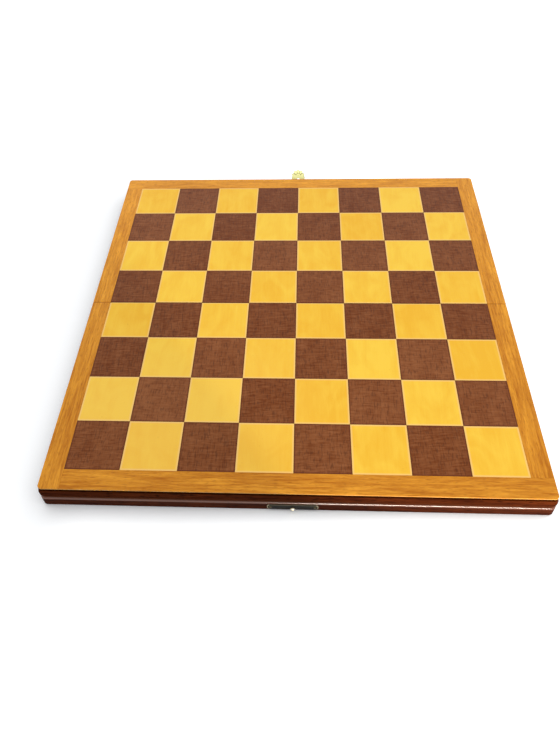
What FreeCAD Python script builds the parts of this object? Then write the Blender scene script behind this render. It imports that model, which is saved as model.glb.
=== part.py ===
import FreeCAD, Part
import math
import os

# A folding wooden board for chess and checkers, which closes into a flat box.
# It lies open with the squares up, as two shallow trays turned upside down.
# Lengths are millimetres, angles are degrees. X runs along the fold, +Y points to
# the far half, +Z points up. The origin is the middle of the fold, level with the rims.

# Playing field, in veneer. The border and the saw cut at the fold trim the outer squares,
# and the sheet of squares lies a little to the right of the middle.
SQUARE = 34.5
FILES = 8
RANKS_PER_HALF = 4
SIDE_TRIM = 1.2
END_TRIM = 0.5
FOLD_TRIM = 1.0
SHEET_OFFSET = 0.4
BORDER_SIDE = 13.2
BORDER_END = 13.0
VENEER = 0.6
VENEER_JOINT = 0.08
EDGE_EASE = 0.3

# Panel under the veneer, and the fold between the halves
CORE = 2.2
CORNER_ROUND = 2.5
FOLD_GAP = 0.4

# Moulded rails of the three outer sides, and the plain rail at the fold
RAIL_HEIGHT = 15.2
RAIL_WIDTH = 9.0
RAIL_PROUD = 0.8
FOLD_RAIL_WIDTH = 7.0
FOOT_ROUND = 0.6
LOWER_BAND = 7.0
GROOVE_DEPTH = 1.2
GROOVE_FLOOR = 1.6
UPPER_BAND = 1.2

# Felt lining of the trays
FELT = 1.0
FELT_CLEAR = 0.3

# Butt hinges at the fold
HINGE_INSET = 46.7
HINGE_LENGTH = 26.0
KNUCKLE_COUNT = 5
KNUCKLE_RADIUS = 1.0
KNUCKLE_CLEAR = 0.15
KNUCKLE_END_CLEAR = 0.2
HINGE_PIN_RADIUS = 0.5
LEAF_THICKNESS = 0.7
LEAF_HEIGHT = 9.0
LEAF_CLEAR = 0.05
CLOSING_CLEAR = 0.1

# Countersunk screws of the hinges
SCREW_SPREAD = 7.8
SCREW_HEAD_RADIUS = 1.5
SCREW_RADIUS = 0.7
SCREW_LENGTH = 5.0
SCREW_POINT = 1.4
SCREW_SLOT = 0.4
SCREW_SLOT_DEPTH = 0.3

# Latch plates: the catch on the near rail and the hasp plate on the far rail
LATCH_X = 0.0
LATCH_HEIGHT = 4.3
PLATE_LENGTH = 30.0
PLATE_HEIGHT = 5.0
PLATE_CORNER = 1.8
PLATE_THICKNESS = 0.6
PLATE_EASE = 0.15
NAIL_INSET = 1.9
NAIL_RADIUS = 0.4
NAIL_HEAD_RADIUS = 0.85
NAIL_HEAD_HEIGHT = 0.45
NAIL_LENGTH = 5.0

# Knob of the catch
KNOB_RADIUS = 1.3
KNOB_NECK_RADIUS = 0.8
KNOB_NECK_HEIGHT = 0.9
KNOB_RIM_RISE = 0.3
KNOB_DOME = 0.8
KNOB_SPIGOT = 4.0

# Hasp that swings over the knob
HASP_PIN_RADIUS = 0.5
HASP_EYE_RADIUS = 1.2
HASP_EYE_LENGTH = 2.6
HASP_EYE_CLEAR = 0.1
HASP_WALL_CLEAR = 0.05
HASP_SWING_CLEAR = 0.15
PIN_HEAD_HEIGHT = 0.3
FLAP_KNUCKLE = 6.2
FLAP_LENGTH = 18.0
FLAP_WIDTH = 11.6
FLAP_THICKNESS = 0.6
FLAP_HEEL = 1.6
FLAP_PLATE_CLEAR = 0.2
FLAP_LOBES = 5
FLAP_FLUTE_RADIUS = 0.45
FLAP_FLUTE_DEPTH = 0.18
FLAP_REST_TILT = 34.0
SLOT_CLEAR = 0.2
SLOT_REACH_CLEAR = 0.4

# Clearances shared by pins in bores and by nails and screws in their holes
PIN_CLEAR = 0.05
HOLE_CLEAR = 0.05

# Places that follow from the sizes
V = FreeCAD.Vector
NEAR = -1
FAR = 1
FOLD_FACE = FOLD_GAP / 2
FIELD_X = FILES * SQUARE / 2 - SIDE_TRIM
FIELD_Y = RANKS_PER_HALF * SQUARE - FOLD_TRIM - END_TRIM
PANEL_X = FIELD_X + BORDER_SIDE
PANEL_Y = FIELD_Y + BORDER_END
OUTER_X = PANEL_X + RAIL_PROUD
OUTER_Y = PANEL_Y + RAIL_PROUD
TRAY_X = OUTER_X - RAIL_WIDTH
TRAY_OUT = OUTER_Y - RAIL_WIDTH
TRAY_FOLD = FOLD_FACE + FOLD_RAIL_WIDTH
CORNER_RADIUS = CORNER_ROUND + RAIL_PROUD
VENEER_BOTTOM = RAIL_HEIGHT + CORE
TOP = VENEER_BOTTOM + VENEER
HALF_JOINT = VENEER_JOINT / 2

HINGE_X = TRAY_X - HINGE_INSET
AXIS_Z = -CLOSING_CLEAR
LEAF_LOW = AXIS_Z + KNUCKLE_RADIUS + KNUCKLE_CLEAR
LEAF_TOP = AXIS_Z + LEAF_HEIGHT
SCREW_Z = (LEAF_LOW + LEAF_TOP) / 2

PLATE_FACE = OUTER_Y + PLATE_THICKNESS
HASP_AXIS_Y = OUTER_Y + HASP_WALL_CLEAR + HASP_EYE_RADIUS
SLOT_REACH = 2 * LATCH_HEIGHT + 2 * CLOSING_CLEAR
FLAP_INNER = HASP_AXIS_Y - PLATE_FACE - FLAP_PLATE_CLEAR
PIN_HEAD_RADIUS = HASP_AXIS_Y - PLATE_FACE - HASP_WALL_CLEAR


def block(x0, x1, y0, y1, z0, z1):
    """Box between two corners."""
    return Part.makeBox(x1 - x0, y1 - y0, z1 - z0, V(x0, y0, z0))


def rod(radius, start, direction, length):
    """Round rod from a start point along a direction."""
    return Part.makeCylinder(radius, length, start, direction)


def on_side(shape, side):
    """Shapes are drawn on the far half; the near half is the mirror image across the fold."""
    if side == NEAR:
        return shape.mirror(V(0, 0, 0), V(0, 1, 0))
    return shape


def line(a, b):
    """Straight edge."""
    return Part.makeLine(a, b)


def arc(a, middle, b):
    """Circular edge through three points."""
    return Part.Arc(a, middle, b).toShape()


def on_circle(centre, radius, angle):
    """Point of a circle in the YZ plane, with the angle counted from +Y towards +Z."""
    turn = math.radians(angle)
    return centre + V(0, radius * math.cos(turn), radius * math.sin(turn))


def eased(shape, chosen):
    """Rounds the chosen edges by the small radius of a sanded edge."""
    return shape.makeFillet(EDGE_EASE, [edge for edge in shape.Edges if chosen(edge)])


# Veneer and panel

def file_line(index):
    """Middle of the joint to the left of a file; the outer files end at the border."""
    return max(-FIELD_X, min(FIELD_X, SHEET_OFFSET + (index - FILES / 2) * SQUARE))


def rank_line(step):
    """Middle of the joint on the outer side of a rank, counted from the border to the fold."""
    return min(FIELD_Y, (RANKS_PER_HALF - step) * SQUARE - FOLD_TRIM)


def squares(side, dark):
    """Veneer squares of one colour on one half; the near left corner of the board is dark."""
    pieces = []
    for step in range(RANKS_PER_HALF):
        rank = step if side == NEAR else 2 * RANKS_PER_HALF - 1 - step
        outer = rank_line(step) - HALF_JOINT
        last = step == RANKS_PER_HALF - 1
        inner = FOLD_FACE if last else rank_line(step + 1) + HALF_JOINT
        for file in range(FILES):
            if ((file + rank) % 2 == 0) != dark:
                continue
            piece = block(file_line(file) + HALF_JOINT, file_line(file + 1) - HALF_JOINT,
                          inner, outer, VENEER_BOTTOM, TOP)
            if last:
                piece = eased(piece, fold_top_edge)
            pieces.append(on_side(piece, side))
    return Part.makeCompound(pieces)


def fold_top_edge(edge):
    """True for the upper edge along the fold."""
    box = edge.BoundBox
    return box.YMax < FOLD_FACE + VENEER_JOINT and box.ZMin > TOP - VENEER_JOINT


def rounded_sheet(bottom, top):
    """Sheet over one half, with its two outer corners rounded."""
    sheet = block(-PANEL_X, PANEL_X, FOLD_FACE, PANEL_Y, bottom, top)
    corners = [edge for edge in sheet.Edges
               if edge.BoundBox.ZLength > (top - bottom) / 2 and edge.BoundBox.YMin > FIELD_Y]
    return sheet.makeFillet(CORNER_ROUND, corners)


def panel(side):
    """Core board that closes one tray and carries the veneer."""
    return on_side(rounded_sheet(RAIL_HEIGHT, VENEER_BOTTOM), side)


def border_sheet():
    """Border veneer of one half before it is cut into strips, its outer and fold edges eased."""
    sheet = rounded_sheet(VENEER_BOTTOM, TOP)
    return eased(sheet, lambda edge: edge.BoundBox.ZMin > TOP - VENEER_JOINT)


def border_strip(side, x0, x1, out0, out1):
    """One strip of the border, cut from the rounded sheet."""
    strip = border_sheet().common(block(x0, x1, out0, out1, VENEER_BOTTOM, TOP))
    return on_side(strip.Solids[0], side)


def border(side):
    """Strips of one half. They run round the field like a pinwheel, each butting the next."""
    inner_x = FIELD_X + HALF_JOINT
    inner_out = FIELD_Y + HALF_JOINT
    through = (-PANEL_X, -inner_x, FOLD_FACE, PANEL_Y)
    butted = (inner_x, PANEL_X, FOLD_FACE, FIELD_Y - HALF_JOINT)
    end = (-FIELD_X + HALF_JOINT, PANEL_X, inner_out, PANEL_Y)
    strips = []
    for x0, x1, out0, out1 in (through, end, butted):
        if side == FAR:
            x0, x1 = -x1, -x0
        strips.append(border_strip(side, x0, x1, out0, out1))
    return strips


# Rails

def rail_section(x, outer, inner):
    """Section of the moulded rail in the plane at x, from a depth inside it to its outer face."""
    def point(width, z):
        return V(x, outer - RAIL_WIDTH + width, z)

    face = RAIL_WIDTH
    groove = RAIL_WIDTH - GROOVE_DEPTH
    lip_top = LOWER_BAND + GROOVE_DEPTH
    flank = lip_top + GROOVE_FLOOR
    shoulder = flank + GROOVE_DEPTH + UPPER_BAND
    drop = RAIL_HEIGHT - shoulder
    bend = (RAIL_PROUD ** 2 + drop ** 2) / (2 * RAIL_PROUD)
    half_turn = math.degrees(math.atan2(drop, bend - RAIL_PROUD)) / 2
    edges = [
        line(point(inner, 0), point(face - FOOT_ROUND, 0)),
        arc(point(face - FOOT_ROUND, 0),
            on_circle(point(face - FOOT_ROUND, FOOT_ROUND), FOOT_ROUND, -45),
            point(face, FOOT_ROUND)),
        line(point(face, FOOT_ROUND), point(face, LOWER_BAND)),
        arc(point(face, LOWER_BAND),
            on_circle(point(groove, LOWER_BAND), GROOVE_DEPTH, 45),
            point(groove, lip_top)),
        line(point(groove, lip_top), point(groove, flank)),
        line(point(groove, flank), point(face, flank + GROOVE_DEPTH)),
        line(point(face, flank + GROOVE_DEPTH), point(face, shoulder)),
        arc(point(face, shoulder),
            on_circle(point(face - bend, shoulder), bend, half_turn),
            point(face - RAIL_PROUD, RAIL_HEIGHT)),
        line(point(face - RAIL_PROUD, RAIL_HEIGHT), point(inner, RAIL_HEIGHT)),
        line(point(inner, RAIL_HEIGHT), point(inner, 0)),
    ]
    return Part.Face(Part.Wire(edges))


def mitre_wedge(x, outer, towards):
    """Wedge that cuts the inner side of a rail's end to 45 degrees."""
    y = outer - CORNER_RADIUS
    corner = V(x, y, 0)
    across = V(x, y - RAIL_WIDTH, 0)
    along = V(x - towards * RAIL_WIDTH, y - RAIL_WIDTH, 0)
    wedge = Part.Face(Part.makePolygon([corner, across, along, corner]))
    return wedge.extrude(V(0, 0, RAIL_HEIGHT))


def moulded_rail(outer, start, end, mitre_start, mitre_end):
    """Rail along X with its moulding towards +Y; a mitred end turns half of a rounded corner."""
    rail = rail_section(start, outer, 0).extrude(V(end - start, 0, 0))
    turns = []
    for x, mitred, towards in ((start, mitre_start, -1), (end, mitre_end, 1)):
        if mitred:
            rail = rail.cut(mitre_wedge(x, outer, towards))
            section = rail_section(x, outer, RAIL_WIDTH - CORNER_RADIUS)
            axis = V(x, outer - CORNER_RADIUS, 0)
            turns.append(section.revolve(axis, V(0, 0, 1), -45 * towards))
    return rail.fuse(turns).removeSplitter().Solids[0]


def end_rail(side):
    """Front or back rail, mitred at both corners."""
    reach = OUTER_X - CORNER_RADIUS
    rail = moulded_rail(OUTER_Y, -reach, reach, True, True)
    rail = rail.cut(nail_holes())
    if side == NEAR:
        rail = rail.cut(knob_hole())
    return on_side(rail, side)


def side_rails(side):
    """Left and right rails, mitred at the outer corner and cut square at the fold."""
    rail = moulded_rail(OUTER_X, CORNER_RADIUS - OUTER_Y, -FOLD_FACE, True, False)
    rail.rotate(V(0, 0, 0), V(0, 0, 1), -90)
    right = on_side(rail, side)
    return right.mirror(V(0, 0, 0), V(1, 0, 0)), right


def fold_rail(side):
    """Plain rail at the fold, mortised for the hinges."""
    rail = block(-TRAY_X, TRAY_X, FOLD_FACE, TRAY_FOLD, 0, RAIL_HEIGHT)
    for middle in (-HINGE_X, HINGE_X):
        rail = rail.cut(hinge_mortise(middle))
    return on_side(rail, side)


def felt_lining(side):
    """Felt glued under the panel, inside the tray."""
    felt = block(FELT_CLEAR - TRAY_X, TRAY_X - FELT_CLEAR, TRAY_FOLD + FELT_CLEAR,
                 TRAY_OUT - FELT_CLEAR, RAIL_HEIGHT - FELT, RAIL_HEIGHT)
    return on_side(felt, side)


# Hinges at the fold

def hinge_mortise(middle):
    """Room in the fold rail for one leaf, the knuckles and the screws."""
    half = HINGE_LENGTH / 2
    leaf = block(middle - half - LEAF_CLEAR, middle + half + LEAF_CLEAR, 0,
                 FOLD_FACE + LEAF_THICKNESS + LEAF_CLEAR, AXIS_Z, LEAF_TOP + LEAF_CLEAR)
    length = HINGE_LENGTH + 2 * KNUCKLE_END_CLEAR
    barrel = rod(KNUCKLE_RADIUS + KNUCKLE_CLEAR, V(middle - length / 2, 0, AXIS_Z), V(1, 0, 0), length)
    room = leaf.fuse(barrel)
    for x in (middle - SCREW_SPREAD, middle + SCREW_SPREAD):
        room = room.fuse(rod(SCREW_RADIUS + HOLE_CLEAR, V(x, 0, SCREW_Z), V(0, 1, 0),
                             FOLD_FACE + SCREW_LENGTH + HOLE_CLEAR))
    return room


def hinge_leaf(middle, side):
    """Leaf of a butt hinge with its knuckles; the near leaf has the outer and middle ones."""
    left = middle - HINGE_LENGTH / 2
    back = FOLD_FACE + LEAF_THICKNESS
    leaf = block(left, left + HINGE_LENGTH, FOLD_FACE, back, LEAF_LOW, LEAF_TOP)
    pitch = HINGE_LENGTH / KNUCKLE_COUNT
    first = 0 if side == NEAR else 1
    for index in range(first, KNUCKLE_COUNT, 2):
        start = left + index * pitch + KNUCKLE_END_CLEAR / 2
        length = pitch - KNUCKLE_END_CLEAR
        web = block(start, start + length, FOLD_FACE, back, AXIS_Z, LEAF_LOW)
        knuckle = rod(KNUCKLE_RADIUS, V(start, 0, AXIS_Z), V(1, 0, 0), length)
        leaf = leaf.fuse([web, knuckle])
    leaf = leaf.cut(rod(HINGE_PIN_RADIUS + PIN_CLEAR, V(left, 0, AXIS_Z), V(1, 0, 0), HINGE_LENGTH))
    for x in (middle - SCREW_SPREAD, middle + SCREW_SPREAD):
        leaf = leaf.cut(screw_body(x, HOLE_CLEAR))
    return on_side(leaf.removeSplitter().Solids[0], side)


def hinge_pin(middle):
    """Pin of one hinge."""
    half = (HINGE_LENGTH - KNUCKLE_END_CLEAR) / 2
    return rod(HINGE_PIN_RADIUS, V(middle - half, 0, AXIS_Z), V(1, 0, 0), 2 * half)


def screw_body(x, grown):
    """Countersunk screw driven outwards from the fold, or its hole when grown."""
    head_back = FOLD_FACE + LEAF_THICKNESS
    head = Part.makeCone(SCREW_HEAD_RADIUS + grown, SCREW_RADIUS + grown, LEAF_THICKNESS,
                         V(x, FOLD_FACE, SCREW_Z), V(0, 1, 0))
    shank_length = SCREW_LENGTH - LEAF_THICKNESS - SCREW_POINT
    shank = rod(SCREW_RADIUS + grown, V(x, head_back, SCREW_Z), V(0, 1, 0), shank_length)
    point = Part.makeCone(SCREW_RADIUS, SCREW_RADIUS / 4, SCREW_POINT,
                          V(x, head_back + shank_length, SCREW_Z), V(0, 1, 0))
    return head.fuse([shank, point]).removeSplitter().Solids[0]


def hinge_screws(side):
    """Screws of both leaves on one half."""
    screws = []
    for middle in (-HINGE_X, HINGE_X):
        for x in (middle - SCREW_SPREAD, middle + SCREW_SPREAD):
            slot = block(x - SCREW_SLOT / 2, x + SCREW_SLOT / 2, FOLD_FACE,
                         FOLD_FACE + SCREW_SLOT_DEPTH, SCREW_Z - 2 * SCREW_HEAD_RADIUS,
                         SCREW_Z + 2 * SCREW_HEAD_RADIUS)
            screws.append(on_side(screw_body(x, 0).cut(slot).Solids[0], side))
    return Part.makeCompound(screws)


# Latch

def turned(edges, x, y, z):
    """Turned piece with its axis along +Y; the edges are drawn in the XZ plane about Z."""
    piece = Part.Face(Part.Wire(edges)).revolve(V(0, 0, 0), V(0, 0, 1), 360)
    piece.rotate(V(0, 0, 0), V(1, 0, 0), -90)
    piece.translate(V(x, y, z))
    return piece


def dome(radius, base, height):
    """Edge of a spherical cap, from its rim to the axis."""
    bend = (radius ** 2 + height ** 2) / (2 * height)
    half_turn = math.asin(radius / bend) / 2
    middle = V(bend * math.sin(half_turn), 0, base + height - bend + bend * math.cos(half_turn))
    return arc(V(radius, 0, base), middle, V(0, 0, base + height))


def nail_places():
    """Places of the two nails of a latch plate along X."""
    reach = PLATE_LENGTH / 2 - NAIL_INSET
    return LATCH_X - reach, LATCH_X + reach


def nails(side):
    """Round-headed nails of one latch plate."""
    pieces = []
    for x in nail_places():
        edges = [
            line(V(0, 0, -NAIL_LENGTH), V(NAIL_RADIUS, 0, -NAIL_LENGTH)),
            line(V(NAIL_RADIUS, 0, -NAIL_LENGTH), V(NAIL_RADIUS, 0, 0)),
            line(V(NAIL_RADIUS, 0, 0), V(NAIL_HEAD_RADIUS, 0, 0)),
            dome(NAIL_HEAD_RADIUS, 0, NAIL_HEAD_HEIGHT),
            line(V(0, 0, NAIL_HEAD_HEIGHT), V(0, 0, -NAIL_LENGTH)),
        ]
        pieces.append(on_side(turned(edges, x, PLATE_FACE, LATCH_HEIGHT), side))
    return Part.makeCompound(pieces)


def nail_holes():
    """Holes of the two nails through a plate and into its rail."""
    depth = NAIL_LENGTH + HOLE_CLEAR
    holes = [rod(NAIL_RADIUS + HOLE_CLEAR, V(x, PLATE_FACE - depth, LATCH_HEIGHT), V(0, 1, 0), depth)
             for x in nail_places()]
    return Part.makeCompound(holes)


def knob_hole():
    """Hole of the knob's spigot through the catch plate and into the rail."""
    depth = KNOB_SPIGOT + HOLE_CLEAR
    return rod(KNOB_NECK_RADIUS + HOLE_CLEAR, V(LATCH_X, PLATE_FACE - depth, LATCH_HEIGHT), V(0, 1, 0), depth)


def latch_plate():
    """Long plate with rounded ends, its front edges eased."""
    half_length = PLATE_LENGTH / 2
    half_height = PLATE_HEIGHT / 2
    plate = block(LATCH_X - half_length, LATCH_X + half_length, OUTER_Y, PLATE_FACE,
                  LATCH_HEIGHT - half_height, LATCH_HEIGHT + half_height)
    corners = [edge for edge in plate.Edges if edge.BoundBox.YLength > PLATE_THICKNESS / 2]
    plate = plate.makeFillet(PLATE_CORNER, corners)
    front = [edge for edge in plate.Edges if edge.BoundBox.YMin > PLATE_FACE - PLATE_THICKNESS / 2]
    return plate.makeFillet(PLATE_EASE, front).cut(nail_holes())


def catch_plate():
    """Plate under the knob, on the near rail."""
    return on_side(latch_plate().cut(knob_hole()), NEAR)


def catch_knob():
    """Turned knob that the hasp drops over."""
    rim = KNOB_NECK_HEIGHT + KNOB_RIM_RISE
    crown = rim + KNOB_DOME
    edges = [
        line(V(0, 0, -KNOB_SPIGOT), V(KNOB_NECK_RADIUS, 0, -KNOB_SPIGOT)),
        line(V(KNOB_NECK_RADIUS, 0, -KNOB_SPIGOT), V(KNOB_NECK_RADIUS, 0, KNOB_NECK_HEIGHT)),
        line(V(KNOB_NECK_RADIUS, 0, KNOB_NECK_HEIGHT), V(KNOB_RADIUS, 0, rim)),
        dome(KNOB_RADIUS, rim, KNOB_DOME),
        line(V(0, 0, crown), V(0, 0, -KNOB_SPIGOT)),
    ]
    return on_side(turned(edges, LATCH_X, PLATE_FACE, LATCH_HEIGHT), NEAR)


def hasp_rod(radius, start, length):
    """Rod on the hasp's axis, with its start counted along X from the latch's middle."""
    return rod(radius, V(LATCH_X + start, HASP_AXIS_Y, LATCH_HEIGHT), V(1, 0, 0), length)


def hasp_plate():
    """Plate on the far rail with the two eyes that hold the hasp's pin."""
    inner = FLAP_KNUCKLE / 2 + HASP_EYE_CLEAR
    outer = inner + HASP_EYE_LENGTH
    plate = latch_plate().fuse([hasp_rod(HASP_EYE_RADIUS, -outer, HASP_EYE_LENGTH),
                                hasp_rod(HASP_EYE_RADIUS, inner, HASP_EYE_LENGTH)])
    plate = plate.cut(hasp_rod(HASP_EYE_RADIUS + HASP_SWING_CLEAR, -inner, 2 * inner))
    return plate.cut(hasp_rod(HASP_PIN_RADIUS + PIN_CLEAR, -outer, 2 * outer)).removeSplitter().Solids[0]


def hasp_pin():
    """Pin of the hasp, headed at both ends."""
    half = FLAP_KNUCKLE / 2 + HASP_EYE_CLEAR + HASP_EYE_LENGTH + PIN_CLEAR
    pin = hasp_rod(HASP_PIN_RADIUS, -half, 2 * half)
    heads = [hasp_rod(PIN_HEAD_RADIUS, -half - PIN_HEAD_HEIGHT, PIN_HEAD_HEIGHT),
             hasp_rod(PIN_HEAD_RADIUS, half, PIN_HEAD_HEIGHT)]
    return pin.fuse(heads).removeSplitter().Solids[0]


def flap_point(across, reach, depth):
    """Point of the upright hasp: across from its middle, up from its pin, and out from the pin's axis."""
    return V(LATCH_X + across, HASP_AXIS_Y + depth, LATCH_HEIGHT + reach)


def hasp_flap():
    """Hasp with a knuckle, a slot for the knob and a fluted, shell-edged tip, leaning open."""
    inner = FLAP_INNER - FLAP_THICKNESS
    thick = V(0, FLAP_THICKNESS, 0)
    half = FLAP_WIDTH / 2
    heel = HASP_EYE_RADIUS + HASP_SWING_CLEAR
    spread = math.radians(90 / FLAP_LOBES)
    ring = half / (1 + math.sin(spread))
    fan = FLAP_LENGTH - half

    knuckle = hasp_rod(HASP_EYE_RADIUS, -FLAP_KNUCKLE / 2, FLAP_KNUCKLE)
    web = [(-FLAP_KNUCKLE / 2, 0), (FLAP_KNUCKLE / 2, 0), (FLAP_KNUCKLE / 2, heel), (-FLAP_KNUCKLE / 2, heel)]
    body = [(-half + FLAP_HEEL, heel), (half - FLAP_HEEL, heel), (half, heel + FLAP_HEEL), (half, fan),
            (-half, fan), (-half, heel + FLAP_HEEL)]
    pieces = []
    for outline in (web, body):
        points = [flap_point(across, reach, inner) for across, reach in outline]
        pieces.append(Part.Face(Part.makePolygon(points + points[:1])).extrude(thick))
    pieces.append(rod(ring, flap_point(0, fan, inner), V(0, 1, 0), FLAP_THICKNESS))
    for index in range(FLAP_LOBES):
        turn = (2 * index + 1) * spread
        lobe = flap_point(ring * math.cos(turn), fan + ring * math.sin(turn), inner)
        pieces.append(rod(half - ring, lobe, V(0, 1, 0), FLAP_THICKNESS))
    flap = knuckle.fuse(pieces)

    for index in range(1, FLAP_LOBES):
        turn = 2 * index * spread
        lift = FLAP_FLUTE_RADIUS - FLAP_FLUTE_DEPTH
        start = flap_point(ring / 2 * math.cos(turn), fan + ring / 2 * math.sin(turn), inner - lift)
        flap = flap.cut(rod(FLAP_FLUTE_RADIUS, start, V(math.cos(turn), 0, math.sin(turn)), half))

    slot_half = KNOB_RADIUS + SLOT_CLEAR
    for reach in (-SLOT_REACH_CLEAR + SLOT_CLEAR, SLOT_REACH_CLEAR - SLOT_CLEAR):
        flap = flap.cut(rod(slot_half, flap_point(0, SLOT_REACH + reach, inner), V(0, 1, 0), FLAP_THICKNESS))
    flap = flap.cut(hasp_rod(HASP_PIN_RADIUS + PIN_CLEAR, -half, FLAP_WIDTH)).removeSplitter().Solids[0]
    flap.rotate(flap_point(0, 0, 0), V(1, 0, 0), -FLAP_REST_TILT)
    return flap


def save(name, shape):
    """Writes one piece."""
    shape.exportStep("parts/" + name + ".step")


os.makedirs("parts", exist_ok=True)

for name, side, end in (("near", NEAR, "front"), ("far", FAR, "back")):
    save(name + "_panel", panel(side))
    save(name + "_dark_squares", squares(side, True))
    save(name + "_light_squares", squares(side, False))
    through, across, butted = border(side)
    save(name + "_border_" + ("left" if side == NEAR else "right"), through)
    save(name + "_border_" + end, across)
    save(name + "_border_" + ("right" if side == NEAR else "left"), butted)
    save(name + "_" + end + "_rail", end_rail(side))
    left, right = side_rails(side)
    save(name + "_left_rail", left)
    save(name + "_right_rail", right)
    save(name + "_fold_rail", fold_rail(side))
    save(name + "_felt_lining", felt_lining(side))
    save("left_hinge_" + name + "_leaf", hinge_leaf(-HINGE_X, side))
    save("right_hinge_" + name + "_leaf", hinge_leaf(HINGE_X, side))
    save(name + "_hinge_screws", hinge_screws(side))

save("left_hinge_pin", hinge_pin(-HINGE_X))
save("right_hinge_pin", hinge_pin(HINGE_X))
save("catch_plate", catch_plate())
save("catch_knob", catch_knob())
save("catch_nails", nails(NEAR))
save("hasp_plate", hasp_plate())
save("hasp_nails", nails(FAR))
save("hasp_pin", hasp_pin())
save("hasp_flap", hasp_flap())
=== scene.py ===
"""Looks of a folding board for chess and checkers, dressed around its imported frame.

The frame holds the board open with its squares up. This script gives every piece its finish,
lines the two trays with felt, and sets up the floor, the lights and the camera.
Lengths are metres in the scene and millimetres inside the finishes.
"""

import logging
import math
from dataclasses import dataclass, field, replace
from enum import Enum
from typing import Union

import bmesh
import bpy
from mathutils import Euler, Matrix, Vector

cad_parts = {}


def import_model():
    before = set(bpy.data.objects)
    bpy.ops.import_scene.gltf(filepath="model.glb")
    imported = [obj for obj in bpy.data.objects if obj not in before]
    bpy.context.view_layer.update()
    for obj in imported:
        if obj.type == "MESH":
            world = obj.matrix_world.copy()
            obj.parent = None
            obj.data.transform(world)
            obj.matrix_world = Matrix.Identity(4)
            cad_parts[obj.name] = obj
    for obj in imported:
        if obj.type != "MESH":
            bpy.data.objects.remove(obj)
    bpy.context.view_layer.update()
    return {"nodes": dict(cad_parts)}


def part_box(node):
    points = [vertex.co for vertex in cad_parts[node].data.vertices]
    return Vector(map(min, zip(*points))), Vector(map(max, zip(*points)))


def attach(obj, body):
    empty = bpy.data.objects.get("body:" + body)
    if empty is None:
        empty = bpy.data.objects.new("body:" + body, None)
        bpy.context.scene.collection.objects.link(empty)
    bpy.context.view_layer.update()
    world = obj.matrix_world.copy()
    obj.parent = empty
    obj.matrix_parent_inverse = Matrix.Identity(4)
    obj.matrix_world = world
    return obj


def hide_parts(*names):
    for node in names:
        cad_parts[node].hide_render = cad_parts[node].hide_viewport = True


LOG = logging.getLogger("board")
MILLIMETRE = 0.001

Triple = tuple[float, float, float]
Rgb = Triple
Step = tuple[float, float]
Operand = Union["Wire", float, tuple]


class Grain(Enum):
    """Direction that a piece of wood was cut along; the value turns it to run along Y."""

    ALONG_Y = 0.0
    ALONG_X = math.pi / 2


class Half(Enum):
    """The two halves of the board; the value starts the names of their pieces."""

    NEAR = "near"
    FAR = "far"

    @property
    def body(self) -> str:
        """Name of the body that carries this half."""
        return self.value + "_half"

    @property
    def sides(self) -> dict[str, Grain]:
        """Outer sides of this half, with the grain of the wood along each."""
        end = "front" if self is Half.NEAR else "back"
        return {end: Grain.ALONG_X, "left": Grain.ALONG_Y, "right": Grain.ALONG_Y}


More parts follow.
